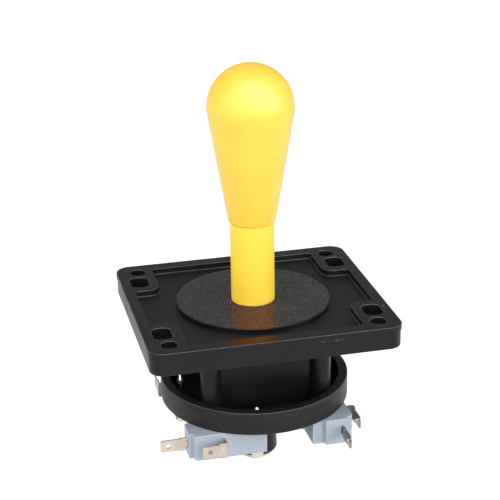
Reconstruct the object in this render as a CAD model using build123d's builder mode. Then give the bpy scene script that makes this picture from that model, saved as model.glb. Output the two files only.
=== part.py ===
import os
from math import asin, atan2, cos, degrees, radians, sin, sqrt, tan

from build123d import *

os.makedirs("parts", exist_ok=True)

# All lengths are in millimetres. The origin is the middle of the base plate's top face,
# the face that is bolted up against a control panel. +Z runs up the stick.

# Fits
running_gap = 0.05      # round pieces that turn in each other
loose_gap = 0.1         # faces that slide past each other
screw_gap = 0.05        # screw shank in its hole

# Base plate
plate_length = 95.0
plate_width = 83.2
plate_height = 9.0
plate_corner = 5.6
plate_edge = 0.4        # rounding of the outer edges, above and below
inner_edge = 0.4        # rounding of the edges round the tray
hole_edge = 0.25        # chamfer of the hole rims
band_height = 2.4       # upper band of the side wall, and how far it stands out
band_step = 0.3
side_rim = 4.3
end_rim = 5.3
tray_depth = 2.6
tray_corner = 2.0
tray_edge = 0.5         # rounding where the tray's walls meet its floor
tray_floor = 3.0
skirt = 3.0
rib = 2.0
pad_width = 14.4        # corner pads, along X and along Y
pad_length = 26.0
pad_corner = 4.5
bolt_hole = 6.0
bolt_inset_x = 8.3
bolt_inset_y = 7.4
nut_round = 9.6         # round pocket with two flats
nut_flats = 7.0
nut_depth = 6.0
nut_screw_hole = 6.0
nut_inset_x = 7.4
nut_inset_y = 17.2

# Housing and posts below the plate
post_diameter = 7.8
post_clearance = 0.2    # from the posts to the dish's inner wall
post_angle = 42.34      # degrees, from the X axis to a post
post_offset = 0.5       # posts stand this far outside the housing's wall face
housing_wall = 2.2
housing_corner = 2.0
housing_clearance = 0.4 # from the housing's lower edge to the dish floor

# Switch plate: a round dish
dish_diameter = 73.4
dish_drop = 40.65       # from the plate's top face to the dish's underside
dish_rim_height = 9.05
dish_wall = 3.6
dish_floor = 3.0
dish_edge = 0.4
gate_corner = 4.0
gate_gap = 0.5          # between the dish's gate and the actuator at full tilt

# Stick
tilt = 6.0              # degrees each way
shaft_diameter = 9.5
shaft_top = 70.0
shaft_end = 69.5        # below the plate's top face
shaft_chamfer = 0.6
sleeve_diameter = 16.74
knob_bottom = 31.0
knob_bottom_diameter = 18.0
knob_diameter = 32.5
knob_top = 91.5
knob_lip = 0.8

# Dust washer
washer_diameter = 59.1
washer_thickness = 2.0
washer_bevel = 0.9      # smooth ring at the edge, its width and drop
washer_bevel_drop = 0.15
washer_gap = 0.4        # around the sleeve

# Pivot: half-ball bush in the hub's bowl
pivot_radius = 13.5
bush_top_drop = 3.7     # below the ball's centre
bush_bottom_drop = 10.7
hub_diameter = 33.0
hub_depth = 15.0        # below the plate's top face
hub_mouth = 18.0        # opening below the bowl

# Actuator and what holds it
actuator_top = 31.5     # below the plate's top face
actuator_bottom = 66.2
actuator_flange = 24.4
actuator_flange_height = 2.0
actuator_neck = 14.8
actuator_foot = 17.9
actuator_cone_start = 42.0
actuator_edge = 1.6
flat_washer_diameter = 15.0
flat_washer_thickness = 0.8
clip_diameter = 12.0
clip_groove = 7.4
clip_thickness = 0.9
clip_mouth = 5.0

# Centring spring
spring_diameter = 21.0
spring_wire = 1.6
spring_turns = 5

# Screws that hold the dish to the posts
dish_screw = 3.0
dish_screw_head = 6.0
dish_screw_length = 14.0

# Microswitches of the common 28 mm miniature size
switch_length = 27.8
switch_width = 15.9
switch_height = 10.3
switch_corner = 1.6     # outer corner at the terminals
plain_corner = 0.8      # corners of the plain end
switch_edge = 0.35
switch_seam = 0.25      # chamfer where cover and case meet
switch_wall = 1.5
switch_face = 15.4      # from the stick's axis to the face with the plunger
switch_end = 2.75       # from the stick's axis to the plain end
cover_thickness = 1.8
hole_inset_x = 3.2      # mounting holes, from the plain end and the outer face
hole_inset_y = 2.8
hole_pitch_x = 22.2
hole_pitch_y = 10.3
hole_boss = 4.8
locating_peg = 3.0      # peg on the dish, in the second hole of each switch
switch_screw = 3.0
switch_screw_head = 4.6
switch_screw_head_height = 2.4
switch_screw_edge = 0.65
switch_screw_proud = 4.9 # tips above the dish floor
switch_screw_point = 2.2 # length of the pointed end
switch_screw_tip = 0.8  # across its blunt tip
screw_cross = 3.4       # cross recess, across and the width of its slots
screw_slot = 0.8
end_boss = 1.7          # raised block round the end terminal
end_boss_width = 8.9
end_boss_inset = 2.4    # from the outer face

# Switch levers, plungers and blades
lever_thickness = 0.5
lever_width = 4.4
lever_past_axis = 2.0
lever_gap = 0.85        # lever to actuator
hinge_inset = 9.0       # hinge pin, from the terminal end
hinge_proud = 1.1       # hinge pin, out of the switch face
hinge_barrel = 2.0
hinge_pin = 1.0
hinge_ear = 1.2
plunger_arm = 5.5       # from hinge pin to plunger
plunger_width = 2.6
plunger_height = 3.4
plunger_flange = 4.4
plunger_flange_thickness = 1.0
plunger_nub = 1.6
blade_reach = 5.0       # blade past the plunger
blade_thickness = 0.3
blade_width = 3.4

# Terminals
tab_thickness = 0.5
tab_bend = 0.8          # outer radius of the side tab's bend
tab_height = 4.75
tab_root_height = 6.3
tab_root_length = 3.0
end_root_height = 5.3
end_neck_height = 2.2   # narrow neck where the end tab leaves the case, and the slot round it
end_neck_length = 0.8
end_slot_height = 3.7
end_slot_width = 1.0
tab_hole = 1.8
tab_hole_inset = 3.0
tab_corner = 0.8
end_tab_length = 10.5
end_tab_inset = 4.6     # from the outer face
side_tab_length = 9.2
side_tab_standoff = 3.6
side_tab_place = 16.4   # from the plain end
end_tab_drop = 4.85     # middle of the tabs below the switch's top face
side_tab_drop = 5.05

# Heights and places that follow from the sizes above
tray_level = -tray_depth
skin_level = tray_level - tray_floor
dish_bottom = -dish_drop
dish_floor_top = dish_bottom + dish_floor
housing_bottom = dish_floor_top + housing_clearance
post_circle = (dish_diameter - post_diameter) / 2 - dish_wall - post_clearance
post_spacing_x = 2 * post_circle * cos(radians(post_angle))
post_spacing_y = 2 * post_circle * sin(radians(post_angle))
housing_length = post_spacing_x - 2 * post_offset
housing_width = post_spacing_y - 2 * post_offset
pivot_z = tray_level + washer_thickness / 2
shaft_radius = shaft_diameter / 2
running_bore = shaft_radius + running_gap
bush_top = pivot_z - bush_top_drop
bush_bottom = pivot_z - bush_bottom_drop
sleeve_bottom = bush_top + loose_gap
bolt_spacing_x = plate_length - 2 * bolt_inset_x
bolt_spacing_y = plate_width - 2 * bolt_inset_y
nut_spacing_x = plate_length - 2 * nut_inset_x
nut_spacing_y = plate_width - 2 * nut_inset_y

# Switch places, for the front switch: its plunger face looks along +Y at the stick
switch_top = dish_bottom
switch_bottom = switch_top - switch_height
case_bottom = switch_bottom + cover_thickness
case_height = switch_height - cover_thickness
terminal_end = -switch_end - switch_length
outer_face = -switch_face - switch_width
switch_middle = (-switch_end - switch_length / 2, -switch_face - switch_width / 2)
lever_z = case_bottom + case_height / 2
end_tab_z = switch_top - end_tab_drop
side_tab_z = switch_top - side_tab_drop
screw_spot = (-switch_end - hole_inset_x, outer_face + hole_inset_y)
peg_spot = (screw_spot[0] - hole_pitch_x, screw_spot[1] + hole_pitch_y)
hole_spots = [screw_spot, peg_spot]
hinge_spot = (terminal_end + hinge_inset, -switch_face + hinge_proud)

# The lever leans from its pin to the actuator; the pieces behind it follow that lean
cone_slope = (actuator_foot - actuator_neck) / 2 / (actuator_bottom - actuator_cone_start)
actuator_radius_at_lever = actuator_neck / 2 + cone_slope * (-lever_z - actuator_cone_start)
lever_rest_y = -(actuator_radius_at_lever + lever_gap + lever_thickness / 2)
lever_lean = atan2(lever_rest_y - hinge_spot[1], -hinge_spot[0])
lever_length = (lever_past_axis - hinge_spot[0]) / cos(lever_lean)
plunger_x = hinge_spot[0] + plunger_arm
plunger_tip_radius = plunger_width / 2
plunger_tip_y = (
    hinge_spot[1]
    + plunger_arm * tan(lever_lean)
    - (lever_thickness / 2 + running_gap + plunger_tip_radius) / cos(lever_lean)
)
lever_ratio = (pivot_z - lever_z) / -hinge_spot[0]
plunger_travel = radians(tilt) * lever_ratio * plunger_arm
flange_y = -switch_face - switch_wall - plunger_travel - 2 * loose_gap
flange_back_y = flange_y - plunger_flange_thickness
blade_y = flange_back_y - plunger_nub / 2 - running_gap - blade_thickness / 2
blade_fixed_x = screw_spot[0] - hole_boss / 2 - tab_thickness / 2 - 2 * loose_gap
blade_arm = blade_fixed_x - plunger_x
blade_free_x = plunger_x - blade_reach
blade_seat_y = blade_y - blade_thickness / 2 - loose_gap
blade_swing = plunger_travel * (blade_arm + blade_reach) / blade_arm
contact_y = blade_y - blade_thickness / 2 - blade_swing - loose_gap
end_tab_y = outer_face + end_tab_inset
side_tab_x = -switch_end - side_tab_place
side_tab_y = outer_face - side_tab_standoff

sides = {"front": 0, "right": 90, "back": 180, "left": 270}


def pinwheel(spot):
    return [Vector(*spot).rotate(Axis.Z, turn) for turn in sides.values()]


def save(part, name):
    part.label = name
    export_step(part, f"parts/{name}.step")


def save_four(front_part, name):
    for side, turn in sides.items():
        with BuildPart() as turned:
            add(front_part, rotation=(0, 0, turn))
        save(turned.part, f"{side}_{name}")


# Outline of one nut pocket: a circle with two flats
with BuildSketch() as nut_pocket:
    Circle(nut_round / 2)
    Rectangle(nut_flats, nut_round, mode=Mode.INTERSECT)

# Base plate: rim, tray and pads above, housing, posts and pivot bowl below, in one moulding
with BuildPart() as base_plate:
    with BuildSketch(Plane.XY.offset(-plate_height)):
        RectangleRounded(plate_length - 2 * band_step, plate_width - 2 * band_step, plate_corner - band_step)
    extrude(amount=plate_height - band_height)
    with BuildSketch(Plane.XY.offset(-band_height)):
        RectangleRounded(plate_length, plate_width, plate_corner)
    extrude(amount=band_height)
    levels = base_plate.faces().sort_by(Axis.Z)
    fillet(levels[0].outer_wire().edges() + levels[-1].outer_wire().edges(), plate_edge)
    # Tray: a cross between the four pads
    with BuildSketch() as tray:
        Rectangle(plate_length - 2 * pad_width, plate_width - 2 * end_rim)
        Rectangle(plate_length - 2 * side_rim, plate_width - 2 * pad_length)
        inner_corners = tray.vertices().sort_by_distance((0, 0, 0))[:4]
        fillet(inner_corners, pad_corner)
        tray_ends = tray.vertices().group_by(Axis.Y)
        fillet(tray_ends[0] + tray_ends[-1], tray_corner)
    extrude(amount=-tray_depth, mode=Mode.SUBTRACT)
    tray_face = base_plate.faces().filter_by(Axis.Z).sort_by_distance((0, 0, tray_level))[0]
    fillet(tray_face.outer_wire().edges(), tray_edge)
    fillet(base_plate.faces().sort_by(Axis.Z)[-1].inner_wires().edges(), inner_edge)
    # Hollow underside with ribs, leaving the pads solid
    with BuildSketch(Plane.XY.offset(-plate_height)):
        Rectangle(plate_length - 2 * pad_width, plate_width - 2 * skirt)
        Rectangle(plate_length - 2 * skirt, plate_width - 2 * pad_length)
        Rectangle(plate_length, rib, mode=Mode.SUBTRACT)
        Rectangle(rib, plate_width, mode=Mode.SUBTRACT)
    extrude(amount=plate_height + skin_level, mode=Mode.SUBTRACT)
    # Housing, posts and hub
    with BuildSketch(Plane.XY.offset(skin_level)):
        RectangleRounded(housing_length, housing_width, housing_corner)
        Rectangle(housing_length - 2 * housing_wall, housing_width - 2 * housing_wall, mode=Mode.SUBTRACT)
    extrude(amount=housing_bottom - skin_level)
    with BuildSketch(Plane.XY.offset(skin_level)):
        with GridLocations(post_spacing_x, post_spacing_y, 2, 2):
            Circle(post_diameter / 2)
    extrude(amount=dish_floor_top - skin_level)
    with BuildSketch(Plane.XY.offset(skin_level)):
        Circle(hub_diameter / 2)
    extrude(amount=-hub_depth - skin_level)
    # Bowl for the pivot bush and its mouth
    with Locations((0, 0, pivot_z)):
        Sphere(pivot_radius + running_gap, mode=Mode.SUBTRACT)
    with BuildSketch(Plane.XY.offset(-hub_depth)):
        Circle(hub_mouth / 2)
    extrude(amount=hub_depth + bush_bottom, mode=Mode.SUBTRACT)
    # Panel bolt holes and nut pockets in the pads
    with GridLocations(bolt_spacing_x, bolt_spacing_y, 2, 2):
        Hole(bolt_hole / 2)
    with BuildSketch():
        with GridLocations(nut_spacing_x, nut_spacing_y, 2, 2):
            add(nut_pocket.sketch)
    extrude(amount=-nut_depth, mode=Mode.SUBTRACT)
    hole_rims = base_plate.faces().sort_by(Axis.Z)[-1].inner_wires().sort_by(SortBy.LENGTH)[:-1]
    chamfer(hole_rims.edges(), hole_edge)
    with GridLocations(nut_spacing_x, nut_spacing_y, 2, 2):
        Hole(nut_screw_hole / 2)
    # Screw holes up the posts
    with BuildSketch(Plane.XY.offset(dish_floor_top)):
        with GridLocations(post_spacing_x, post_spacing_y, 2, 2):
            Circle(dish_screw / 2 + screw_gap)
    extrude(amount=dish_screw_length, mode=Mode.SUBTRACT)
save(base_plate.part, "base_plate")

# Switch plate: the dish that carries the switches, with the gate in its floor
gate_reach = actuator_neck / 2 + (pivot_z - dish_bottom) * tan(radians(tilt)) + gate_gap
with BuildPart() as switch_plate:
    with BuildSketch(Plane.XY.offset(dish_bottom)):
        Circle(dish_diameter / 2)
    extrude(amount=dish_rim_height)
    with BuildSketch(Plane.XY.offset(dish_floor_top)):
        Circle(dish_diameter / 2 - dish_wall)
    extrude(amount=dish_rim_height - dish_floor, mode=Mode.SUBTRACT)
    dish_rims = switch_plate.edges().filter_by(GeomType.CIRCLE).group_by(Axis.Z)
    fillet(dish_rims[0] + dish_rims[-1], dish_edge)
    with BuildSketch(Plane.XY.offset(dish_floor_top)):
        RectangleRounded(2 * gate_reach, 2 * gate_reach, gate_corner)
    extrude(amount=-dish_floor, mode=Mode.SUBTRACT)
    with BuildSketch(Plane.XY.offset(dish_bottom)):
        with Locations(*pinwheel(screw_spot)):
            Circle(switch_screw / 2 + screw_gap)
    extrude(amount=dish_floor + switch_screw_proud + loose_gap, mode=Mode.SUBTRACT)
    with BuildSketch(Plane.XY.offset(dish_bottom)):
        with Locations(*pinwheel(peg_spot)):
            Circle(locating_peg / 2)
    extrude(amount=-switch_height)
    with Locations(Plane.XY.offset(dish_bottom).rotated((180, 0, 0))):
        with GridLocations(post_spacing_x, post_spacing_y, 2, 2):
            CounterSinkHole(dish_screw / 2 + screw_gap, dish_screw_head / 2 + screw_gap, dish_floor)
save(switch_plate.part, "switch_plate")

# Countersunk screws up into the posts
screw_cone = (dish_screw_head - dish_screw) / 2
with BuildPart() as dish_screws:
    with BuildSketch(Plane.XZ):
        with BuildLine():
            Polyline(
                (0, dish_bottom),
                (dish_screw_head / 2, dish_bottom),
                (dish_screw / 2, dish_bottom + screw_cone),
                (dish_screw / 2, dish_bottom + dish_screw_length),
                (0, dish_bottom + dish_screw_length),
                close=True,
            )
        make_face()
    revolve(axis=Axis.Z)
    with BuildSketch(Plane.XY.offset(dish_bottom)):
        Rectangle(screw_cross, screw_slot)
        Rectangle(screw_slot, screw_cross)
    extrude(amount=screw_slot, mode=Mode.SUBTRACT)
with BuildPart() as dish_screw_set:
    with GridLocations(post_spacing_x, post_spacing_y, 2, 2):
        add(dish_screws.part)
save(dish_screw_set.part, "dish_screws")

# Dust washer, resting on the tray floor
washer_bore = sleeve_diameter / 2 + washer_gap
washer_top = tray_level + washer_thickness
with BuildPart() as dust_washer:
    with BuildSketch(Plane.XZ):
        with BuildLine():
            Polyline(
                (washer_bore, tray_level),
                (washer_diameter / 2, tray_level),
                (washer_diameter / 2, washer_top - washer_bevel_drop),
                (washer_diameter / 2 - washer_bevel, washer_top),
                (washer_bore, washer_top),
                close=True,
            )
        make_face()
    revolve(axis=Axis.Z)
save(dust_washer.part, "dust_washer")

# Knob: a ball that runs tangent into a cone, bored for the shaft
knob_radius = knob_diameter / 2
ball_z = knob_top - knob_radius
ball_drop = ball_z - knob_bottom
knob_bottom_radius = knob_bottom_diameter / 2
knob_taper = asin(knob_radius / sqrt(ball_drop**2 + knob_bottom_radius**2)) - atan2(knob_bottom_radius, ball_drop)
with BuildPart() as bat_knob:
    with BuildSketch(Plane.XZ):
        with BuildLine():
            ball = CenterArc((0, ball_z), knob_radius, -degrees(knob_taper), 90 + degrees(knob_taper))
            Polyline(ball @ 1, (0, knob_bottom), (knob_bottom_radius, knob_bottom), ball @ 0)
        make_face()
    revolve(axis=Axis.Z)
    fillet(bat_knob.faces().sort_by(Axis.Z)[0].edges(), knob_lip)
    with BuildSketch(Plane.XY.offset(knob_bottom)):
        Circle(running_bore)
    extrude(amount=shaft_top - knob_bottom + loose_gap, mode=Mode.SUBTRACT)
save(bat_knob.part, "bat_knob")

# Sleeve from the knob down through the washer to the pivot bush
with BuildPart() as shaft_sleeve:
    with BuildSketch(Plane.XY.offset(sleeve_bottom)):
        Circle(sleeve_diameter / 2)
        Circle(running_bore, mode=Mode.SUBTRACT)
    extrude(amount=knob_bottom - sleeve_bottom)
save(shaft_sleeve.part, "shaft_sleeve")

# Shaft with the clip's groove near its lower end
clip_top = -actuator_bottom - flat_washer_thickness - 2 * loose_gap
with BuildPart() as shaft:
    with BuildSketch(Plane.XY.offset(-shaft_end)):
        Circle(shaft_radius)
    extrude(amount=shaft_end + shaft_top)
    chamfer(shaft.edges().filter_by(GeomType.CIRCLE), shaft_chamfer)
    with BuildSketch(Plane.XY.offset(clip_top - clip_thickness - running_gap)):
        Circle(shaft_diameter)
        Circle(clip_groove / 2, mode=Mode.SUBTRACT)
    extrude(amount=clip_thickness + 2 * running_gap, mode=Mode.SUBTRACT)
save(shaft.part, "stick_shaft")

# Retaining clip in the groove, open at one side
with BuildPart() as retaining_clip:
    with BuildSketch(Plane.XY.offset(clip_top - clip_thickness)):
        Circle(clip_diameter / 2)
        Circle(clip_groove / 2 + running_gap, mode=Mode.SUBTRACT)
        with Locations((0, clip_diameter / 2)):
            Rectangle(clip_mouth, clip_diameter, mode=Mode.SUBTRACT)
    extrude(amount=clip_thickness)
save(retaining_clip.part, "retaining_clip")

# Flat washer between actuator and clip
with BuildPart() as flat_washer:
    with BuildSketch(Plane.XY.offset(clip_top + loose_gap)):
        Circle(flat_washer_diameter / 2)
        Circle(running_bore, mode=Mode.SUBTRACT)
    extrude(amount=flat_washer_thickness)
save(flat_washer.part, "flat_washer")

# Pivot bush: the zone of a ball, bored for the shaft
bush_top_radius = sqrt(pivot_radius**2 - bush_top_drop**2)
bush_bottom_radius = sqrt(pivot_radius**2 - bush_bottom_drop**2)
bush_start = -degrees(asin(bush_top_drop / pivot_radius))
bush_stop = -degrees(asin(bush_bottom_drop / pivot_radius))
with BuildPart() as pivot_bush:
    with BuildSketch(Plane.XZ):
        with BuildLine():
            zone = CenterArc((0, pivot_z), pivot_radius, bush_start, bush_stop - bush_start)
            Polyline(zone @ 1, (running_bore, bush_bottom), (running_bore, bush_top), zone @ 0)
        make_face()
    revolve(axis=Axis.Z)
save(pivot_bush.part, "pivot_bush")

# Actuator: spring flange, neck in the gate, cone that widens towards its foot
with BuildPart() as actuator:
    with BuildSketch(Plane.XZ):
        with BuildLine():
            Polyline(
                (running_bore, -actuator_top),
                (actuator_flange / 2, -actuator_top),
                (actuator_flange / 2, -actuator_top - actuator_flange_height),
                (actuator_neck / 2, -actuator_top - actuator_flange_height),
                (actuator_neck / 2, -actuator_cone_start),
                (actuator_foot / 2, -actuator_bottom),
                (running_bore, -actuator_bottom),
                close=True,
            )
        make_face()
    revolve(axis=Axis.Z)
    fillet(actuator.faces().sort_by(Axis.Z)[0].outer_wire().edges(), actuator_edge)
save(actuator.part, "actuator")

# Centring spring between the hub and the actuator's flange
spring_top = -hub_depth - loose_gap - spring_wire / 2
spring_height = actuator_top - hub_depth - spring_wire - 2 * loose_gap
with BuildPart() as centring_spring:
    with BuildLine(Plane.XY.offset(spring_top - spring_height)):
        coil = Helix(spring_height / spring_turns, spring_height, spring_diameter / 2)
    with BuildSketch(Plane(coil @ 0, z_dir=coil % 0)):
        Circle(spring_wire / 2)
    sweep(path=coil, is_frenet=True)
save(centring_spring.part, "centring_spring")

# Outline of the front switch, with the boss on its terminal end
with BuildSketch() as switch_outline:
    with Locations(switch_middle):
        Rectangle(switch_length, switch_width)
    terminal_corners, plain_corners = switch_outline.vertices().group_by(Axis.X)
    outer_corner, peg_corner = terminal_corners.sort_by(Axis.Y)
    fillet(outer_corner, switch_corner)
    fillet(peg_corner, hole_boss / 2)
    fillet(plain_corners, plain_corner)
    with Locations((terminal_end, outer_face + end_boss_inset)):
        Rectangle(2 * end_boss, end_boss_width, align=(Align.CENTER, Align.MIN))
    fillet(switch_outline.vertices().group_by(Axis.X)[0], switch_edge)

# Front switch case: open below, with lever ears, screw bosses and terminal slots
cavity_height = case_height - switch_wall
tab_slot = tab_thickness + 2 * screw_gap
root_slot = tab_root_height + 2 * screw_gap
wall_cut = 3 * switch_wall                  # passes a wall whose outer face is in its middle
end_cut = 2 * (end_boss + switch_wall)      # passes the end boss and the wall behind it
with BuildPart() as switch_case:
    with BuildSketch(Plane.XY.offset(case_bottom)):
        add(switch_outline.sketch)
    extrude(amount=case_height)
    fillet(switch_case.faces().sort_by(Axis.Z)[-1].outer_wire().edges(), switch_edge)
    with BuildSketch(Plane.XY.offset(case_bottom)):
        with Locations(switch_middle):
            Rectangle(switch_length - 2 * switch_wall, switch_width - 2 * switch_wall)
    extrude(amount=cavity_height, mode=Mode.SUBTRACT)
    with BuildSketch(Plane.XY.offset(case_bottom)):
        with Locations(*hole_spots):
            Circle(hole_boss / 2)
    extrude(amount=case_height)
    # Ears that hold the lever's pin
    for ear_z in (lever_z - lever_width / 2 - loose_gap - hinge_ear, lever_z + lever_width / 2 + loose_gap):
        with BuildSketch(Plane.XY.offset(ear_z)):
            with Locations(hinge_spot):
                Circle(hinge_barrel / 2)
                Rectangle(hinge_barrel, hinge_proud + switch_wall / 2, align=(Align.CENTER, Align.MAX))
        extrude(amount=hinge_ear)
    with BuildSketch(Plane.XY.offset(case_bottom)):
        with Locations(*hole_spots):
            Circle(switch_screw / 2 + screw_gap)
    extrude(amount=case_height, mode=Mode.SUBTRACT)
    with BuildSketch(Plane.XY.offset(case_bottom)):
        with Locations(hinge_spot):
            Circle(hinge_pin / 2)
    extrude(amount=case_height, mode=Mode.SUBTRACT)
    # Plunger window and terminal slots
    with Locations((plunger_x, -switch_face, lever_z)):
        Box(
            plunger_width + 2 * running_gap,
            wall_cut,
            plunger_height + 2 * running_gap,
            mode=Mode.SUBTRACT,
        )
    with Locations((terminal_end, end_tab_y, end_tab_z)):
        Box(end_cut, end_slot_width, end_slot_height, mode=Mode.SUBTRACT)
    with Locations((side_tab_x, outer_face, side_tab_z)):
        Box(tab_slot, wall_cut, root_slot, mode=Mode.SUBTRACT)
save_four(switch_case.part, "switch_case")

# Cover that closes the case from below
with BuildPart() as switch_cover:
    with BuildSketch(Plane.XY.offset(switch_bottom)):
        add(switch_outline.sketch)
    extrude(amount=cover_thickness)
    levels = switch_cover.faces().sort_by(Axis.Z)
    fillet(levels[0].outer_wire().edges(), switch_edge)
    chamfer(levels[-1].outer_wire().edges(), switch_seam)
    with BuildSketch(Plane.XY.offset(switch_bottom)):
        with Locations(*hole_spots):
            Circle(switch_screw / 2 + screw_gap)
    extrude(amount=cover_thickness, mode=Mode.SUBTRACT)
save_four(switch_cover.part, "switch_cover")

# Lever: a strip from its rolled barrel, leaning to the actuator
with BuildPart() as switch_lever:
    with BuildSketch(Plane.XY.offset(lever_z - lever_width / 2)):
        with Locations(hinge_spot):
            Circle(hinge_barrel / 2)
            Rectangle(
                lever_length,
                lever_thickness,
                rotation=degrees(lever_lean),
                align=(Align.MIN, Align.CENTER),
            )
            Circle(hinge_pin / 2 + running_gap, mode=Mode.SUBTRACT)
    extrude(amount=lever_width)
save_four(switch_lever.part, "switch_lever")

# Pins of the four levers
pin_length = lever_width + 2 * (loose_gap + hinge_ear)
with BuildPart() as lever_pins:
    with BuildSketch(Plane.XY.offset(lever_z - pin_length / 2)):
        with Locations(*pinwheel(hinge_spot)):
            Circle(hinge_pin / 2)
    extrude(amount=pin_length)
save(lever_pins.part, "lever_pins")

# Plunger: round tip on the lever, flange inside the case, nub on the blade
with BuildPart() as switch_plunger:
    with BuildSketch(Plane.XY.offset(lever_z - plunger_height / 2)):
        with Locations((plunger_x, plunger_tip_y)):
            Circle(plunger_tip_radius)
            Rectangle(plunger_width, plunger_tip_y - flange_back_y, align=(Align.CENTER, Align.MAX))
        with Locations((plunger_x, flange_y)):
            Rectangle(plunger_flange, plunger_flange_thickness, align=(Align.CENTER, Align.MAX))
        with Locations((plunger_x, flange_back_y)):
            Circle(plunger_nub / 2)
    extrude(amount=plunger_height)
save_four(switch_plunger.part, "switch_plunger")

# Moving contact blade, from the common terminal to the end terminal
with BuildPart() as contact_blade:
    with BuildSketch(Plane.XY.offset(lever_z - blade_width / 2)):
        with Locations((blade_fixed_x + tab_thickness / 2, blade_y)):
            Rectangle(
                blade_fixed_x - blade_free_x + tab_thickness / 2,
                blade_thickness,
                align=(Align.MAX, Align.CENTER),
            )
    extrude(amount=blade_width)
save_four(contact_blade.part, "contact_blade")

# End terminal: a flat tab, a neck through the case and a foot inside where the blade closes
end_tab_root = terminal_end - end_boss - end_neck_length
end_tab_tip = terminal_end - end_boss - end_tab_length
with BuildPart() as end_terminal:
    with BuildSketch(Plane.XZ.offset(-end_tab_y - tab_thickness / 2)):
        with Locations((end_tab_tip, end_tab_z)):
            RectangleRounded(
                end_tab_root - end_tab_tip, tab_height, tab_corner, align=(Align.MIN, Align.CENTER)
            )
        with Locations((end_tab_root, end_tab_z)):
            Rectangle(tab_root_length, end_root_height, align=(Align.MAX, Align.CENTER))
            Rectangle(blade_free_x - end_tab_root, end_neck_height, align=(Align.MIN, Align.CENTER))
        with Locations((end_tab_tip + tab_hole_inset, end_tab_z)):
            Circle(tab_hole / 2, mode=Mode.SUBTRACT)
    extrude(amount=tab_thickness)
    with Locations((blade_free_x, end_tab_y - tab_thickness / 2, lever_z)):
        Box(
            tab_thickness,
            contact_y - end_tab_y + tab_thickness / 2,
            blade_width,
            align=(Align.CENTER, Align.MIN, Align.CENTER),
        )
save_four(end_terminal.part, "end_terminal")

# Common terminal: a bent tab on the outer face, an arm inside that carries the blade
arm_y = outer_face + switch_wall + 2 * tab_thickness
side_tab_tip = side_tab_x - side_tab_length
with BuildPart() as common_terminal:
    with BuildSketch(Plane.XZ.offset(-side_tab_y - tab_thickness / 2)):
        with Locations((side_tab_tip, side_tab_z)):
            RectangleRounded(
                side_tab_length + tab_thickness / 2, tab_height, tab_corner, align=(Align.MIN, Align.CENTER)
            )
        with Locations((side_tab_x + tab_thickness / 2, side_tab_z)):
            Rectangle(tab_root_length, tab_root_height, align=(Align.MAX, Align.CENTER))
        with Locations((side_tab_tip + tab_hole_inset, side_tab_z)):
            Circle(tab_hole / 2, mode=Mode.SUBTRACT)
    extrude(amount=tab_thickness)
    with Locations((side_tab_x, side_tab_y - tab_thickness / 2, side_tab_z)):
        Box(
            tab_thickness,
            arm_y - side_tab_y + tab_thickness,
            tab_root_height,
            align=(Align.CENTER, Align.MIN, Align.CENTER),
        )
    with Locations((side_tab_x - tab_thickness / 2, arm_y, lever_z)):
        Box(
            blade_fixed_x - side_tab_x + tab_thickness,
            tab_thickness,
            blade_width,
            align=(Align.MIN, Align.CENTER, Align.CENTER),
        )
    with Locations((blade_fixed_x, arm_y, lever_z)):
        Box(
            tab_thickness,
            blade_seat_y - arm_y,
            blade_width,
            align=(Align.CENTER, Align.MIN, Align.CENTER),
        )
    # Bend outside the case
    bend = common_terminal.edges().filter_by(Axis.Z).sort_by_distance(
        (side_tab_x + tab_thickness / 2, side_tab_y - tab_thickness / 2, side_tab_z)
    )[0]
    fillet(bend, tab_bend)
save_four(common_terminal.part, "common_terminal")

# Screws that hold the switches, heads below
screw_reach = switch_height + dish_floor + switch_screw_proud
with BuildPart() as switch_screws:
    with BuildSketch(Plane.XY.offset(switch_bottom - switch_screw_head_height)):
        with Locations(*pinwheel(screw_spot)):
            Circle(switch_screw_head / 2)
    extrude(amount=switch_screw_head_height)
    rims = switch_screws.faces().filter_by(Axis.Z).group_by(Axis.Z)[0].edges()
    fillet(rims, switch_screw_edge)
    with BuildSketch(Plane.XY.offset(switch_bottom)):
        with Locations(*pinwheel(screw_spot)):
            Circle(switch_screw / 2)
    extrude(amount=screw_reach - switch_screw_point)
    point_base = switch_bottom + screw_reach - switch_screw_point
    with Locations(*[(spot.X, spot.Y, point_base) for spot in pinwheel(screw_spot)]):
        Cone(
            switch_screw / 2,
            switch_screw_tip / 2,
            switch_screw_point,
            align=(Align.CENTER, Align.CENTER, Align.MIN),
        )
    with BuildSketch(Plane.XY.offset(switch_bottom - switch_screw_head_height)):
        with Locations(*pinwheel(screw_spot)):
            Rectangle(screw_cross, screw_slot)
            Rectangle(screw_slot, screw_cross)
    extrude(amount=screw_slot, mode=Mode.SUBTRACT)
save(switch_screws.part, "switch_screws")
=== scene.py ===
from math import cos, radians, sin, tau

import bpy
from mathutils import Matrix, Vector


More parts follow.
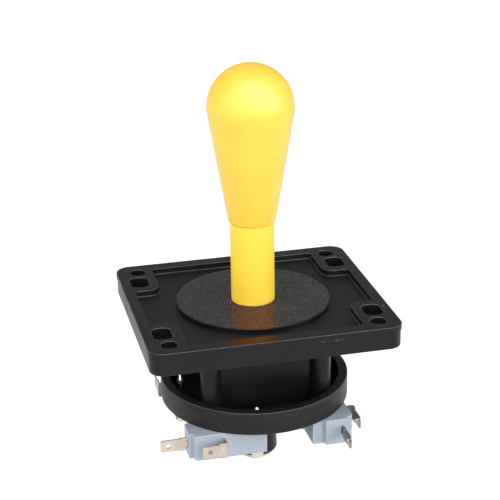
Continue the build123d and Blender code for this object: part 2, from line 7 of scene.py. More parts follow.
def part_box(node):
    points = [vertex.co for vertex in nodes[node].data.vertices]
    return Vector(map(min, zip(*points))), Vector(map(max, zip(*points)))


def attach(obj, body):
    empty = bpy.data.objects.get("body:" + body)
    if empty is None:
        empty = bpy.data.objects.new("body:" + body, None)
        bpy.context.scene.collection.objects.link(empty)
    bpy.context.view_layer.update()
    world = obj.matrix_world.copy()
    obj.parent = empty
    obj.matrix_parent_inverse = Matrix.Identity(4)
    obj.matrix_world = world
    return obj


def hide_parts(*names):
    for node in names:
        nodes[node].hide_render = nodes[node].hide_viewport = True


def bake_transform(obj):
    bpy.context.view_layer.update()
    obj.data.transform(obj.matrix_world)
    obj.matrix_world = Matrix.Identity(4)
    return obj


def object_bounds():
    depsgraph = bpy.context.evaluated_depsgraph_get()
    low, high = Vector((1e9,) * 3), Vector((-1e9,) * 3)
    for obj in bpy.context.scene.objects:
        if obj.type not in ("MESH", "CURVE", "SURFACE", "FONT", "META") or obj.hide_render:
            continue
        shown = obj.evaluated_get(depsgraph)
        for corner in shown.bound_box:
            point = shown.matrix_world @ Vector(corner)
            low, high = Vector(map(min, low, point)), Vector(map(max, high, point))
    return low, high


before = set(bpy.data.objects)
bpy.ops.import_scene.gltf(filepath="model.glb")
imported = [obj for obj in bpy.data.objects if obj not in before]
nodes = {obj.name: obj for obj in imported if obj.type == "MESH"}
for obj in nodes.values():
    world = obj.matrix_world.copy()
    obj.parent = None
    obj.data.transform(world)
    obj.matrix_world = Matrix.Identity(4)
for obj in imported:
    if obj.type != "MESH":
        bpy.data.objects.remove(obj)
cadLow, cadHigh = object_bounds()
scene = bpy.context.scene
sides = ("front", "right", "back", "left")
mm = 0.001
print("frame loaded,", len(nodes), "nodes")


def paint(red, green, blue):
    # screen colour, 0 to 255, to the linear colour that shaders take
    def linear(value):
        share = value / 255
        return share / 12.92 if share <= 0.04045 else ((share + 0.055) / 1.055) ** 2.4

    return (linear(red), linear(green), linear(blue), 1.0)


def feed(tree, socket, value):
    # links a socket to another one, or sets a plain value
    if isinstance(value, bpy.types.NodeSocket):
        tree.links.new(value, socket)
    else:
        socket.default_value = value


def add(tree, kind, **settings):
    # a new node; inputs are given by their names with _ for spaces, other words are node properties
    node = tree.nodes.new(kind)
    for name, value in settings.items():
        socket = node.inputs.get(name.replace("_", " "))
        if socket is None:
            setattr(node, name, value)
        else:
            feed(tree, socket, value)
    return node


def maths(tree, operation, *values):
    node = add(tree, "ShaderNodeMath", operation=operation)
    for socket, value in zip(node.inputs, values):
        feed(tree, socket, value)
    return node.outputs[0]


def vectorMaths(tree, operation, first, second):
    node = add(tree, "ShaderNodeVectorMath", operation=operation)
    feed(tree, node.inputs[0], first)
    feed(tree, node.inputs[1], second)
    return node.outputs


def remap(tree, value, low, high, toLow=0.0, toHigh=1.0):
    # eases from toLow at low to toHigh at high; low may be the greater one
    node = add(tree, "ShaderNodeMapRange", interpolation_type="SMOOTHSTEP", Value=value, From_Min=low, From_Max=high,
               To_Min=toLow, To_Max=toHigh)
    return node.outputs[0]


def between(tree, value, low, lowFull, highFull, high):
    # 1 between the inner two limits, easing to 0 at the outer ones
    return maths(tree, "MULTIPLY", remap(tree, value, low, lowFull), remap(tree, value, high, highFull))


def mixColour(tree, share, first, second):
    node = add(tree, "ShaderNodeMix", data_type="RGBA")
    for place, value in ((0, share), (6, first), (7, second)):  # the Mix node's colour sockets are 6 and 7
        feed(tree, node.inputs[place], value)
    return node.outputs[2]


def mixValue(tree, share, first, second):
    node = tree.nodes.new("ShaderNodeMix")
    for place, value in ((0, share), (2, first), (3, second)):  # its plain sockets are 2 and 3
        feed(tree, node.inputs[place], value)
    return node.outputs[0]


socketKinds = {int: "NodeSocketInt", float: "NodeSocketFloat", tuple: "NodeSocketVector",
               bpy.types.Material: "NodeSocketMaterial"}


def newGroup(kind, name, given, results, resultKind="NodeSocketFloat"):
    # a node group with named inputs, each with its start value, and named results
    group = bpy.data.node_groups.new(name, kind)
    for label, value in given.items():
        socket = group.interface.new_socket(label, in_out="INPUT", socket_type=socketKinds[type(value)])
        socket.default_value = value
    for label in results:
        group.interface.new_socket(label, in_out="OUTPUT", socket_type=resultKind)
    return group, group.nodes.new("NodeGroupInput").outputs, group.nodes.new("NodeGroupOutput").inputs


# fine grain that a spark-eroded mould leaves on plastic
grainLook = {"domes": 0.6, "fine": 0.4, "pits": (0.45, 0.75)}


def buildMouldGrain():
    look = grainLook
    group, given, result = newGroup("ShaderNodeTree", "mouldGrain", {
        "Vector": (0.0, 0.0, 0.0), "Grains per metre": 2000.0}, ("Height", "Pits"))
    place, scale = given["Vector"], given["Grains per metre"]
    fine = add(group, "ShaderNodeTexNoise", Vector=place, Scale=scale, Detail=2.0).outputs[0]
    cells = add(group, "ShaderNodeTexVoronoi", Vector=place, Scale=scale).outputs["Distance"]
    domes = maths(group, "MULTIPLY", maths(group, "SUBTRACT", 1.0, cells), look["domes"])
    group.links.new(maths(group, "MULTIPLY_ADD", fine, look["fine"], domes), result["Height"])
    group.links.new(remap(group, cells, *look["pits"]), result["Pits"])
    return group


# an edge mask used for a painted edge highlight, finger marks and specks of dust
handlingLook = {"turned": (0.02, 0.25), "patches": 900.0, "patch": (0.35, 0.65), "mark": (0.4, 0.65),
                "smear": 0.6, "specks": 95.0, "speck": (0.03, 0.018)}


def buildHandling():
    look = handlingLook
    group, given, result = newGroup("ShaderNodeTree", "handling", {
        "Vector": (0.0, 0.0, 0.0), "Edge width": 0.4 * mm, "Marks per metre": 60.0}, ("Edge", "Marks", "Dust"))
    place = given["Vector"]
    soft = add(group, "ShaderNodeBevel", samples=4, Radius=given["Edge width"]).outputs[0]
    plain = add(group, "ShaderNodeNewGeometry").outputs["Normal"]
    alike = vectorMaths(group, "DOT_PRODUCT", soft, plain)["Value"]
    turned = remap(group, maths(group, "SUBTRACT", 1.0, alike), *look["turned"])
    patches = add(group, "ShaderNodeTexNoise", Vector=place, Scale=look["patches"], Detail=3.0).outputs[0]
    group.links.new(maths(group, "MULTIPLY", turned, remap(group, patches, *look["patch"])), result["Edge"])
    marks = add(group, "ShaderNodeTexNoise", Vector=place, Scale=given["Marks per metre"], Detail=4.0,
                Distortion=look["smear"]).outputs[0]
    group.links.new(remap(group, marks, *look["mark"]), result["Marks"])
    specks = add(group, "ShaderNodeTexVoronoi", Vector=place, Scale=look["specks"]).outputs["Distance"]
    group.links.new(remap(group, specks, *look["speck"]), result["Dust"])
    return group


# long faint lines left by drawing, rolling or filling a mould
streakLook = {"detail": 2.0, "line": (0.3, 0.7)}


def buildStreaks():
    look = streakLook
    group, given, result = newGroup("ShaderNodeTree", "streaks", {
        "Vector": (0.0, 0.0, 0.0), "Stretch": (1.0, 1.0, 0.05), "Lines per metre": 1500.0}, ("Line",))
    drawn = vectorMaths(group, "MULTIPLY", given["Vector"], given["Stretch"])["Vector"]
    lines = add(group, "ShaderNodeTexNoise", Vector=drawn, Scale=given["Lines per metre"],
                Detail=look["detail"]).outputs[0]
    group.links.new(remap(group, lines, *look["line"]), result["Line"])
    return group


mouldGrain = buildMouldGrain()
handling = buildHandling()
streaks = buildStreaks()
print("grain, handling and streaks ready")


def useGroup(tree, group, **settings):
    return add(tree, "ShaderNodeGroup", node_tree=group, **settings).outputs


def startMaterial(name, **constants):
    material = bpy.data.materials.new(name)
    material.use_nodes = True
    tree = material.node_tree
    shader = tree.nodes["Principled BSDF"]
    for socketName, value in constants.items():
        shader.inputs[socketName.replace("_", " ")].default_value = value
    place = tree.nodes.new("ShaderNodeTexCoord").outputs["Object"]
    return material, tree, shader.inputs, place


def facingUp(tree, place):
    # 1 on faces that look up, 0 on walls, -1 on undersides
    return add(tree, "ShaderNodeSeparateXYZ", Vector=place.node.outputs["Normal"]).outputs["Z"]


def bump(tree, inputs, height, look):
    node = add(tree, "ShaderNodeBump", Height=height, Strength=look["relief"], Distance=look["depth"] * mm)
    tree.links.new(node.outputs[0], inputs["Normal"])


# yellow satin plastic; its reflection in other pieces is painted a deeper amber, a colour that only reflection rays
# see
batLook = {"colour": paint(252, 205, 62), "shade": paint(251, 201, 56), "paintedReflection": paint(255, 164, 34),
           "rough": 0.19, "uneven": 0.08, "shine": 0.7, "grain": 1400.0, "relief": 0.5, "depth": 0.3, "marks": 45.0}
sleeveLook = {"colour": paint(255, 217, 71), "shade": paint(255, 212, 64), "paintedReflection": paint(255, 160, 30),
              "rough": 0.33, "uneven": 0.08, "shine": 0.32, "grain": 2600.0, "relief": 0.5, "depth": 0.025,
              "marks": 45.0}


def yellowPlastic(name, look):
    material, tree, inputs, place = startMaterial(name, Specular_IOR_Level=look["shine"])
    grain = useGroup(tree, mouldGrain, Vector=place, Grains_per_metre=look["grain"])["Height"]
    marks = useGroup(tree, handling, Vector=place, Marks_per_metre=look["marks"])["Marks"]
    # reflection rays see the deeper amber instead of the plastic's own colour: a painted reflection
    mirrored = tree.nodes.new("ShaderNodeLightPath").outputs["Is Glossy Ray"]
    seen = mixColour(tree, marks, look["colour"], look["shade"])
    tree.links.new(mixColour(tree, mirrored, seen, look["paintedReflection"]), inputs["Base Color"])
    tree.links.new(maths(tree, "MULTIPLY_ADD", grain, look["uneven"], look["rough"]), inputs["Roughness"])
    bump(tree, inputs, grain, look)
    return material


# black moulded plastic: polished on top, satin on the walls, dull in the tray, nicked along the front step,
# with a painted highlight on its rounded top edges; limits named X, Y or Z are places in mm
blackLook = {"colour": paint(16, 16, 17), "paintedEdgeHighlight": paint(78, 76, 73), "dust": paint(165, 164, 160),
             "nick": paint(112, 109, 105), "shine": 0.22, "flat": 0.2, "wall": 0.33, "uneven": 0.06, "tray": 0.46,
             "grain": 3000.0, "relief": 0.3, "depth": 0.02, "edge": 0.3, "marks": 70.0,
             "slant": (0.3, 0.5, 0.78, 0.92), "scuffs": 620.0, "scuff": (0.15, 0.75), "upward": (0.9, 0.98),
             "trayZ": (-2.9, -2.65, -2.55, -2.3), "nickX": (14.5, 15.5, 23.5, 24.5), "nickY": (-40.5, -41.0),
             "nickZ": (-2.95, -2.5, -2.5, -2.05), "nickStretch": (0.3, 1.0, 1.6), "nicks": 1500.0,
             "nickGaps": (0.5, 0.62)}


def blackPlastic():
    look = blackLook
    limits = {axis: [limit * mm for limit in look[axis]] for axis in ("trayZ", "nickX", "nickY", "nickZ")}
    material, tree, inputs, place = startMaterial("blackPlastic", Specular_IOR_Level=look["shine"])
    grain = useGroup(tree, mouldGrain, Vector=place, Grains_per_metre=look["grain"])
    touch = useGroup(tree, handling, Vector=place, Edge_width=look["edge"] * mm, Marks_per_metre=look["marks"])
    spot = add(tree, "ShaderNodeSeparateXYZ", Vector=place).outputs
    facing = facingUp(tree, place)
    # slanting faces are the rounded top edges; a paler colour there, broken up by scuff noise, is a painted highlight
    scuffs = add(tree, "ShaderNodeTexNoise", Vector=place, Scale=look["scuffs"], Detail=4.0).outputs[0]
    paintedEdgeHighlight = maths(tree, "MULTIPLY", between(tree, facing, *look["slant"]), remap(tree, scuffs, *look["scuff"]))
    # nicks are short dashes along the step of the front wall
    dash = vectorMaths(tree, "MULTIPLY", place, look["nickStretch"])["Vector"]
    broken = add(tree, "ShaderNodeTexNoise", Vector=dash, Scale=look["nicks"], Detail=2.0).outputs[0]
    nicks = remap(tree, broken, *look["nickGaps"])
    for limit in (between(tree, spot["X"], *limits["nickX"]), remap(tree, spot["Y"], *limits["nickY"]),
                  between(tree, spot["Z"], *limits["nickZ"])):
        nicks = maths(tree, "MULTIPLY", nicks, limit)
    plain = mixColour(tree, paintedEdgeHighlight, look["colour"], look["paintedEdgeHighlight"])
    plain = mixColour(tree, nicks, plain, look["nick"])
    tree.links.new(mixColour(tree, touch["Dust"], plain, look["dust"]), inputs["Base Color"])
    satin = maths(tree, "MULTIPLY_ADD", touch["Marks"], look["uneven"], look["wall"])
    top = mixValue(tree, between(tree, spot["Z"], *limits["trayZ"]), look["flat"], look["tray"])
    tree.links.new(mixValue(tree, remap(tree, facing, *look["upward"]), satin, top), inputs["Roughness"])
    bump(tree, inputs, grain["Height"], look)
    return material


# dust washer: glossy black; its top painted a little paler in noise patches, as light on the heights, and darker
# between, as painted shade in the valleys; its edge plain
washerLook = {"colour": paint(6, 6, 6), "height": paint(18, 17, 15), "shine": 0.56, "rough": 0.18, "pitted": 0.15,
              "edgeRough": 0.12, "grain": 640.0, "relief": 0.5, "depth": 0.06, "patches": 1300.0,
              "patch": (0.42, 0.66), "upward": (0.4, 0.8)}


def washerPlastic():
    look = washerLook
    material, tree, inputs, place = startMaterial("washerPlastic", Specular_IOR_Level=look["shine"])
    grain = useGroup(tree, mouldGrain, Vector=place, Grains_per_metre=look["grain"])
    patches = add(tree, "ShaderNodeTexNoise", Vector=place, Scale=look["patches"], Detail=3.0).outputs[0]
    upward = remap(tree, facingUp(tree, place), *look["upward"])
    # paler patches and darker gaps between them: painted light on the heights and painted shade in the valleys
    raised = maths(tree, "MULTIPLY", remap(tree, patches, *look["patch"]), upward)
    tree.links.new(mixColour(tree, raised, look["colour"], look["height"]), inputs["Base Color"])
    face = maths(tree, "MULTIPLY_ADD", grain["Pits"], look["pitted"], look["rough"])
    tree.links.new(mixValue(tree, upward, look["edgeRough"], face), inputs["Roughness"])
    bump(tree, inputs, maths(tree, "MULTIPLY", grain["Height"], upward), look)
    return material


# dish: black with faint brownish flow lines along its wall, partly a painted sheen, and a painted highlight on its
# rounded top edges
dishLook = {"colour": paint(20, 19, 19), "flowAndSheen": paint(33, 30, 28), "paintedEdgeHighlight": paint(74, 71, 68),
            "dust": paint(205, 204, 200), "shine": 0.2, "rough": 0.4, "uneven": 0.1, "stretch": (0.15, 0.15, 1.0),
            "lines": 420.0, "relief": 0.15, "depth": 0.01, "edge": 0.3, "marks": 55.0, "slant": (0.3, 0.5, 0.8, 0.95)}


def dishPlastic():
    look = dishLook
    material, tree, inputs, place = startMaterial("dishPlastic", Specular_IOR_Level=look["shine"])
    flowAndSheen = useGroup(tree, streaks, Vector=place, Stretch=look["stretch"], Lines_per_metre=look["lines"])["Line"]
    touch = useGroup(tree, handling, Vector=place, Edge_width=look["edge"] * mm, Marks_per_metre=look["marks"])
    plain = mixColour(tree, flowAndSheen, look["colour"], look["flowAndSheen"])
    # paler on the rounded top edges: a painted highlight
    plain = mixColour(tree, between(tree, facingUp(tree, place), *look["slant"]), plain, look["paintedEdgeHighlight"])
    tree.links.new(mixColour(tree, touch["Dust"], plain, look["dust"]), inputs["Base Color"])
    tree.links.new(maths(tree, "MULTIPLY_ADD", touch["Marks"], look["uneven"], look["rough"]), inputs["Roughness"])
    bump(tree, inputs, flowAndSheen, look)
    return material


# blue-grey switch bodies: a painted highlight on their edges, and painted shade that turns them black deep in their
# holes
switchLook = {"colour": paint(162, 172, 185), "edgeHighlightTone": paint(200, 207, 215), "paintedHoleShade": paint(20, 20, 22),
              "shine": 0.4, "rough": 0.46, "uneven": 0.1, "grain": 4200.0, "relief": 0.25, "depth": 0.015,
              "edge": 0.35, "marks": 120.0, "reach": 2.5, "open": (0.2, 0.4)}


def switchPlastic():
    look = switchLook
    material, tree, inputs, place = startMaterial("switchPlastic", Specular_IOR_Level=look["shine"])
    grain = useGroup(tree, mouldGrain, Vector=place, Grains_per_metre=look["grain"])
    touch = useGroup(tree, handling, Vector=place, Edge_width=look["edge"] * mm, Marks_per_metre=look["marks"])
    # ambient occlusion darkens the colour deep in the holes: painted shade
    light = add(tree, "ShaderNodeAmbientOcclusion", samples=8, only_local=True, Distance=look["reach"] * mm)
    unshadedShare = remap(tree, light.outputs["AO"], *look["open"])
    # paler on the edges: a painted highlight
    plain = mixColour(tree, touch["Edge"], look["colour"], look["edgeHighlightTone"])
    tree.links.new(mixColour(tree, unshadedShare, look["paintedHoleShade"], plain), inputs["Base Color"])
    tree.links.new(maths(tree, "MULTIPLY_ADD", touch["Marks"], look["uneven"], look["rough"]), inputs["Roughness"])
    bump(tree, inputs, grain["Height"], look)
    return material


# metals share a recipe; each has its tone, and lines that run the way of its small stretch
metalLook = {"uneven": 0.16, "relief": 0.2, "depth": 0.008, "marks": 160.0}
tabLook = {"colour": paint(208, 196, 184), "tarnish": paint(195, 181, 166), "rough": 0.13,
           "stretch": (1.0, 1.0, 0.08), "lines": 2600.0}
# a darker copy of the tab finish: painted shade for terminals that sit among darker things
shadedTabLook = {"colour": paint(152, 144, 134), "tarnish": paint(114, 104, 92), "rough": 0.1,
               "stretch": (1.0, 1.0, 0.08), "lines": 2600.0}
screwLook = {"colour": paint(214, 208, 200), "tarnish": paint(190, 182, 172), "rough": 0.24,
             "stretch": (1.0, 1.0, 1.0), "lines": 2200.0}
shaftLook = {"colour": paint(205, 205, 204), "tarnish": paint(186, 185, 183), "rough": 0.22,
             "stretch": (0.06, 0.06, 1.0), "lines": 3000.0}
springLook = {"colour": paint(186, 185, 182), "tarnish": paint(160, 157, 152), "rough": 0.28,
              "stretch": (1.0, 1.0, 1.0), "lines": 1800.0}
leverLook = {"colour": paint(208, 202, 194), "tarnish": paint(188, 180, 170), "rough": 0.26,
             "stretch": (1.0, 1.0, 0.08), "lines": 2600.0}


def drawnMetal(name, look):
    material, tree, inputs, place = startMaterial(name, Metallic=1.0)
    drawn = useGroup(tree, streaks, Vector=place, Stretch=look["stretch"], Lines_per_metre=look["lines"])["Line"]
    marks = useGroup(tree, handling, Vector=place, Marks_per_metre=metalLook["marks"])["Marks"]
    tree.links.new(mixColour(tree, marks, look["colour"], look["tarnish"]), inputs["Base Color"])
    tree.links.new(maths(tree, "MULTIPLY_ADD", drawn, metalLook["uneven"], look["rough"]), inputs["Roughness"])
    bump(tree, inputs, drawn, metalLook)
    return material


# small plain plastics: the pivot bush and the plungers
smallLook = {"shine": 0.45, "rough": 0.4, "grain": 3500.0, "relief": 0.2, "depth": 0.012, "marks": 150.0}
bushLook = {"colour": paint(214, 212, 204), "mark": paint(203, 200, 190)}
plungerLook = {"colour": paint(60, 58, 56), "mark": paint(50, 48, 46)}


def smallPlastic(name, look):
    material, tree, inputs, place = startMaterial(name, Specular_IOR_Level=smallLook["shine"],
                                                  Roughness=smallLook["rough"])
    marks = useGroup(tree, handling, Vector=place, Marks_per_metre=smallLook["marks"])["Marks"]
    grain = useGroup(tree, mouldGrain, Vector=place, Grains_per_metre=smallLook["grain"])["Height"]
    tree.links.new(mixColour(tree, marks, look["colour"], look["mark"]), inputs["Base Color"])
    bump(tree, inputs, grain, smallLook)
    return material


finish = {
    "bat": yellowPlastic("batPlastic", batLook),
    "sleeve": yellowPlastic("sleevePlastic", sleeveLook),
    "black": blackPlastic(),
    "washer": washerPlastic(),
    "dish": dishPlastic(),
    "switch": switchPlastic(),
    "tab": drawnMetal("tinnedTab", tabLook),
    "shadedTab": drawnMetal("shadedTab", shadedTabLook),
    "screw": drawnMetal("screwSteel", screwLook),
    "shaft": drawnMetal("shaftSteel", shaftLook),
    "spring": drawnMetal("springSteel", springLook),
    "lever": drawnMetal("leverSteel", leverLook),
    "bush": smallPlastic("bushPlastic", bushLook),
    "plunger": smallPlastic("plungerPlastic", plungerLook),
}
worn = {
    "bat_knob": "bat", "shaft_sleeve": "sleeve", "base_plate": "black", "actuator": "black", "switch_plate": "dish",
    "dust_washer": "washer", "pivot_bush": "bush", "stick_shaft": "shaft", "centring_spring": "spring",
    "retaining_clip": "spring", "flat_washer": "screw", "dish_screws": "screw", "switch_screws": "screw",
    "lever_pins": "screw",
}
perSwitch = {
    "switch_case": "switch", "switch_cover": "switch", "switch_lever": "lever", "switch_plunger": "plunger",
    "contact_blade": "tab", "end_terminal": "tab", "common_terminal": "tab",
}
for side in sides:
    for piece, look in perSwitch.items():
        worn[f"{side}_{piece}"] = look
# the other terminals take the darker copy: painted shade
for side in ("right", "back", "left"):  # only the front switch's terminals are bright
    worn[f"{side}_end_terminal"] = worn[f"{side}_common_terminal"] = "shadedTab"
for nodeName, look in worn.items():
    slots = nodes[nodeName].data.materials
    slots.clear()
    slots.append(finish[look])
print("finishes on", len(worn), "of", len(nodes), "nodes")


def newTree(name, **given):
    # a geometry node tree; its inputs are given by their names with _ for spaces
    inputs = {label.replace("_", " "): value for label, value in given.items()}
    return newGroup("GeometryNodeTree", name, inputs, ("Geometry",), "NodeSocketGeometry")


def finishTree(group, shape, given, result):
    real = add(group, "GeometryNodeRealizeInstances", Geometry=shape)
    dressed = add(group, "GeometryNodeSetMaterial", Geometry=real.outputs[0], Material=given["Material"])
    group.links.new(dressed.outputs[0], result["Geometry"])


def growPiece(name, group):
    # runs a node tree on an empty mesh and keeps the result as a plain mesh
    holder = bpy.data.objects.new(name, bpy.data.meshes.new(name + "Seed"))
    scene.collection.objects.link(holder)
    modifier = holder.modifiers.new("grow", "NODES")
    modifier.node_group = group
    for item in group.interface.items_tree:
        if item.in_out == "INPUT":
            modifier[item.identifier] = item.default_value
    mesh = bpy.data.meshes.new_from_object(holder.evaluated_get(bpy.context.evaluated_depsgraph_get()))
    mesh.name = name
    holder.modifiers.clear()
    holder.data = mesh
    print(name, "has", len(mesh.polygons), "faces")
    return holder


def woundWire(group, given, steps, corners):
    # round wire along a spiral: steps in each turn, corners round the wire
    path = add(group, "GeometryNodeCurveSpiral", Resolution=steps, Rotations=given["Turns"],
               Start_Radius=given["Radius"], End_Radius=given["Radius"], Height=given["Length"])
    ring = add(group, "GeometryNodeCurvePrimitiveCircle", Resolution=corners, Radius=given["Wire"])
    wire = add(group, "GeometryNodeCurveToMesh", Curve=path.outputs[0], Profile_Curve=ring.outputs["Curve"],
               Fill_Caps=True)
    return add(group, "GeometryNodeSetShadeSmooth", Geometry=wire.outputs[0]).outputs[0]


# leather grain of the dust washer: flat-topped pebbles inside its smooth ring
pebbleLook = {"inner": 9.5, "ring": 1.1, "spacing": 1.05, "density": 9e6, "radius": 0.62, "height": 0.17,
              "vary": 0.2, "tilt": 0.08, "corners": 9, "topShare": 0.66, "rimSteps": 128, "seed": 11}


def buildPebbles():
    look = pebbleLook
    low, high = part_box("dust_washer")
    group, given, result = newTree(
        "pebbles", Outer_radius=(high.x - low.x) / 2 - look["ring"] * mm, Inner_radius=look["inner"] * mm,
        Spacing=look["spacing"] * mm, Level=(0.0, 0.0, high.z), Seed=look["seed"], Material=finish["washer"])
    rims = group.nodes.new("GeometryNodeJoinGeometry")
    for name in ("Outer radius", "Inner radius"):
        rim = add(group, "GeometryNodeCurvePrimitiveCircle", Resolution=look["rimSteps"], Radius=given[name])
        group.links.new(rim.outputs["Curve"], rims.inputs[0])
    disc = add(group, "GeometryNodeFillCurve", Curve=rims.outputs[0])
    raised = add(group, "GeometryNodeTransform", Geometry=disc.outputs[0], Translation=given["Level"])
    spots = add(group, "GeometryNodeDistributePointsOnFaces", distribute_method="POISSON", Mesh=raised.outputs[0],
                Distance_Min=given["Spacing"], Density_Max=look["density"], Seed=given["Seed"])
    stone = add(group, "GeometryNodeMeshCone", Vertices=look["corners"], Radius_Top=look["topShare"],
                Radius_Bottom=1.0, Depth=1.0)
    # half of each pebble lies under the washer's face
    sunk = add(group, "GeometryNodeTransform", Geometry=stone.outputs["Mesh"], Translation=(0, 0, -0.5))
    middle = Vector((look["radius"], look["radius"], look["height"])) * mm
    turn = add(group, "FunctionNodeRandomValue", data_type="FLOAT_VECTOR", Seed=given["Seed"],
               Min=(-look["tilt"], -look["tilt"], 0), Max=(look["tilt"], look["tilt"], tau))
    size = add(group, "FunctionNodeRandomValue", data_type="FLOAT_VECTOR", Seed=given["Seed"],
               Min=middle * (1 - look["vary"]), Max=middle * (1 + look["vary"]))
    put = add(group, "GeometryNodeInstanceOnPoints", Points=spots.outputs["Points"], Instance=sunk.outputs[0],
              Rotation=turn.outputs["Value"], Scale=size.outputs["Value"])
    finishTree(group, put.outputs[0], given, result)
    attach(growPiece("washerPebbles", group), "base")


# threads on the screw tips that stand up in the dish; top is how far below the points they end
threadLook = {"radius": 1.44, "wire": 0.13, "pitch": 0.5, "top": 2.25, "length": 2.4, "tip": 0.2, "steps": 28,
              "corners": 8}


def screwSpots(tipLevel):
    # tips are the highest points of the screws; one stands on each side of the stick
    screws = nodes["switch_screws"]
    points = [screws.matrix_world @ vertex.co for vertex in screws.data.vertices]
    tips = [point for point in points if point.z > tipLevel - threadLook["tip"] * mm]
    spots = []
    for x, y in ((0, -1), (1, 0), (0, 1), (-1, 0)):
        near = [tip for tip in tips if tip.x * x + tip.y * y > max(abs(tip.x * y), abs(tip.y * x))]
        across, along = [tip.x for tip in near], [tip.y for tip in near]
        spots.append(((min(across) + max(across)) / 2, (min(along) + max(along)) / 2))
    return spots


def buildThreads():
    look = threadLook
    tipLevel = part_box("switch_screws")[1].z
    group, given, result = newTree(
        "threads", Turns=look["length"] / look["pitch"], Radius=look["radius"] * mm, Wire=look["wire"] * mm,
        Length=look["length"] * mm, Start=tipLevel - (look["top"] + look["length"]) * mm, Material=finish["screw"])
    thread = woundWire(group, given, look["steps"], look["corners"])
    joined = group.nodes.new("GeometryNodeJoinGeometry")
    for x, y in screwSpots(tipLevel):
        lift = add(group, "ShaderNodeCombineXYZ", X=x, Y=y, Z=given["Start"])
        one = add(group, "GeometryNodeTransform", Geometry=thread, Translation=lift.outputs[0])
        group.links.new(one.outputs[0], joined.inputs[0])
    finishTree(group, joined.outputs[0], given, result)
    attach(growPiece("screwThreads", group), "base")


# centring spring built again in two halves, in place of the CAD spring
coilLook = {"turns": 5.0, "wire": 1.6, "steps": 40, "corners": 14}


def buildCoil():
    look = coilLook
    low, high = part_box("centring_spring")
    wire = look["wire"] / 2 * mm
    middle = (low.z + high.z) / 2
    length = (high.z - low.z) / 2 - wire
    # where each half starts and how far it is turned, its two bodies, and the levels that it bends between
    halves = {"springLower": (middle - length, 0.0, "spring", "carrier", middle, low.z),
              "springUpper": (middle, radians(180) * look["turns"], "base", "spring", high.z, middle)}
    for name, (start, turn, first, second, blendFrom, blendTo) in halves.items():
        group, given, result = newTree(
            name, Turns=look["turns"] / 2, Radius=(high.x - low.x) / 2 - wire, Wire=wire, Length=length,
            Start=(0.0, 0.0, start), Turn=(0.0, 0.0, turn), Material=finish["spring"])
        coil = woundWire(group, given, look["steps"], look["corners"])
        put = add(group, "GeometryNodeTransform", Geometry=coil, Translation=given["Start"], Rotation=given["Turn"])
        finishTree(group, put.outputs[0], given, result)
        piece = growPiece(name, group)
        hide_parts("centring_spring")
        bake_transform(piece)


buildPebbles()
buildThreads()
buildCoil()


def flatCard(name, width, height, level=0.0):
    x, y = width / 2, height / 2
    mesh = bpy.data.meshes.new(name)
    mesh.from_pydata([(-x, -y, level), (x, -y, level), (x, y, level), (-x, y, level)], [], [(0, 1, 2, 3)])
    return bpy.data.objects.new(name, mesh)


def emptyMaterial(name):
    material = bpy.data.materials.new(name)
    material.use_nodes = True
    material.node_tree.nodes.clear()
    return material, material.node_tree


def inSight(tree):
    # 1 for what is seen by the camera, in a reflection or through glass
    ray = tree.nodes.new("ShaderNodeLightPath").outputs
    seen = maths(tree, "MAXIMUM", ray["Is Camera Ray"], ray["Is Glossy Ray"])
    return maths(tree, "MAXIMUM", seen, ray["Is Transmission Ray"])


def mixShader(tree, share, first, second):
    node = tree.nodes.new("ShaderNodeMixShader")
    for socket, source in zip(node.inputs, (share, first, second)):
        tree.links.new(source, socket)
    return node.outputs[0]


def output(tree, shader, kind="ShaderNodeOutputMaterial"):
    tree.links.new(shader, tree.nodes.new(kind).inputs["Surface"])


def aim(holder, towards):
    holder.rotation_mode = "QUATERNION"
    holder.rotation_quaternion = towards.to_track_quat("Z", "Y")


# floor: white to the camera and in reflections, with a faint shadow
floorLook = {"size": 6.0, "drop": 0.2, "glow": 0.96, "shadow": paint(128, 128, 128), "bounce": paint(226, 226, 226)}


def buildFloor():
    look = floorLook
    floor = flatCard("studioFloor", look["size"], look["size"], cadLow.z - look["drop"] * mm)
    scene.collection.objects.link(floor)
    material, tree = emptyMaterial("studioFloor")
    lit = add(tree, "ShaderNodeBsdfDiffuse", Color=look["bounce"]).outputs[0]
    faint = add(tree, "ShaderNodeBsdfDiffuse", Color=look["shadow"])
    glow = add(tree, "ShaderNodeEmission", Strength=look["glow"])
    white = tree.nodes.new("ShaderNodeAddShader")
    tree.links.new(faint.outputs[0], white.inputs[0])
    tree.links.new(glow.outputs[0], white.inputs[1])
    top = mixShader(tree, inSight(tree), lit, white.outputs[0])
    # from below the floor is not there
    below = tree.nodes.new("ShaderNodeNewGeometry").outputs["Backfacing"]
    clear = tree.nodes.new("ShaderNodeBsdfTransparent").outputs[0]
    output(tree, mixShader(tree, below, top, clear))
    floor.data.materials.append(material)


# white surroundings, dim for diffuse light
worldLook = {"dim": 0.76, "seen": 1.0}


def buildWorld():
    look = worldLook
    world = bpy.data.worlds.new("studio")
    scene.world = world
    world.use_nodes = True
    tree = world.node_tree
    tree.nodes.clear()
    level = maths(tree, "MULTIPLY_ADD", inSight(tree), look["seen"] - look["dim"], look["dim"])
    back = add(tree, "ShaderNodeBackground", Strength=level)
    output(tree, back.outputs[0], "ShaderNodeOutputWorld")


# softboxes: direction from the object, distance, size and power
lamps = {
    "leftSoftbox": {"towards": (-0.9, -0.22, 0.38), "away": 0.9, "size": 0.55, "watts": 3.5},
    "rightSoftbox": {"towards": (0.65, -0.71, 0.26), "away": 0.9, "size": 0.55, "watts": 4.3},
    "topSoftbox": {"towards": (-0.12, -0.45, 0.88), "away": 1.0, "size": 0.5, "watts": 3.2},
    "frontSoftbox": {"towards": (-0.25, -0.9, 0.3), "away": 1.0, "size": 0.5, "watts": 0.6},
}


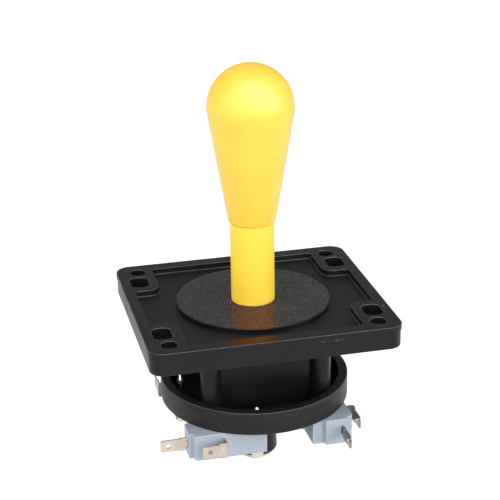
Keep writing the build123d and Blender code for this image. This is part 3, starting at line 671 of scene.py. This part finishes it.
def buildLamps(middle):
    for name, look in lamps.items():
        lamp = bpy.data.lights.new(name, "AREA")
        lamp.shape = "SQUARE"
        lamp.size = look["size"]
        lamp.energy = look["watts"]
        towards = Vector(look["towards"]).normalized()
        holder = bpy.data.objects.new(name, lamp)
        holder.location = middle + towards * look["away"]
        aim(holder, towards)
        holder.visible_glossy = False
        scene.collection.objects.link(holder)


def showInReflections(card):
    card.visible_camera = False
    card.visible_diffuse = False
    card.visible_shadow = False
    scene.collection.objects.link(card)


# broad white tent in front, seen in reflections only; the softboxes stand for the light it gives
tent = {"radius": 2.5, "left": -90.0, "right": 76.0, "low": 1.0, "high": 82.0, "columns": 20, "rows": 10,
        "brightest": (0.41, -0.71, 0.57), "fade": (0.1, 0.95), "dim": 1.9, "bright": 4.5}


def buildTent():
    look = tent
    columns, rows = look["columns"], look["rows"]
    corners = []
    for row in range(rows + 1):
        rise = radians(look["low"] + (look["high"] - look["low"]) * row / rows)
        for column in range(columns + 1):
            turn = radians(look["left"] + (look["right"] - look["left"]) * column / columns)
            out = Vector((cos(rise) * sin(turn), -cos(rise) * cos(turn), sin(rise)))
            corners.append(out * look["radius"])
    wide = columns + 1
    starts = [row * wide + column for row in range(rows) for column in range(columns)]
    mesh = bpy.data.meshes.new("frontTent")
    mesh.from_pydata(corners, [], [(start, start + 1, start + wide + 1, start + wide) for start in starts])
    material, tree = emptyMaterial("tentCloth")
    place = tree.nodes.new("ShaderNodeTexCoord").outputs["Object"]
    brightest = Vector(look["brightest"]).normalized() / look["radius"]
    near = vectorMaths(tree, "DOT_PRODUCT", place, brightest)["Value"]
    glow = add(tree, "ShaderNodeEmission", Strength=remap(tree, near, *look["fade"], look["dim"], look["bright"]))
    output(tree, glow.outputs[0])
    mesh.materials.append(material)
    showInReflections(bpy.data.objects.new("frontTent", mesh))


# matt grey cards out of sight, for the plastics to reflect: a wall behind and two on the floor
cardRough = 0.9
flags = {
    "backFlag": {"middle": (0.0, 0.75, 0.52), "width": 2.4, "height": 1.1, "facing": (0.0, -1.0, 0.0),
                 "grey": paint(144, 144, 144)},
    "backFloorFlag": {"middle": (0.0, 0.435, cadLow.z), "width": 2.4, "height": 0.63, "facing": (0.0, 0.0, 1.0),
                      "grey": paint(244, 244, 244)},
    "leftFloorFlag": {"middle": (-0.645, -0.02, cadLow.z), "width": 1.11, "height": 0.28,
                      "facing": (0.0, 0.0, 1.0), "grey": paint(236, 236, 236)},
}


def buildFlags():
    for name, look in flags.items():
        card = flatCard(name, look["width"], look["height"])
        material = startMaterial(name, Base_Color=look["grey"], Roughness=cardRough)[0]
        card.data.materials.append(material)
        card.location = look["middle"]
        aim(card, Vector(look["facing"]))
        showInReflections(card)


# the photograph's camera: place, direction and lens
shot = {"place": (-0.115817, -0.481642, 0.219029), "azimuth": -13.415, "elevation": 21.998, "roll": -0.772,
        "lens": 101.209, "sensor": 36.0, "near": 0.02, "far": 20.0}


def buildCamera():
    look = bpy.data.cameras.new("shot")
    look.lens = shot["lens"]
    look.sensor_width = shot["sensor"]
    look.clip_start = shot["near"]
    look.clip_end = shot["far"]
    camera = bpy.data.objects.new("shot", look)
    turn = Matrix.Rotation(radians(shot["azimuth"]), 4, "Z")
    pitch = Matrix.Rotation(radians(90 - shot["elevation"]), 4, "X")
    roll = Matrix.Rotation(radians(shot["roll"]), 4, "Z")
    camera.matrix_world = Matrix.Translation(shot["place"]) @ turn @ pitch @ roll
    scene.collection.objects.link(camera)
    scene.camera = camera


buildFloor()
buildWorld()
buildLamps((cadLow + cadHigh) / 2)
buildTent()
buildFlags()
buildCamera()
scene.view_settings.view_transform = "Standard"
print("studio set")
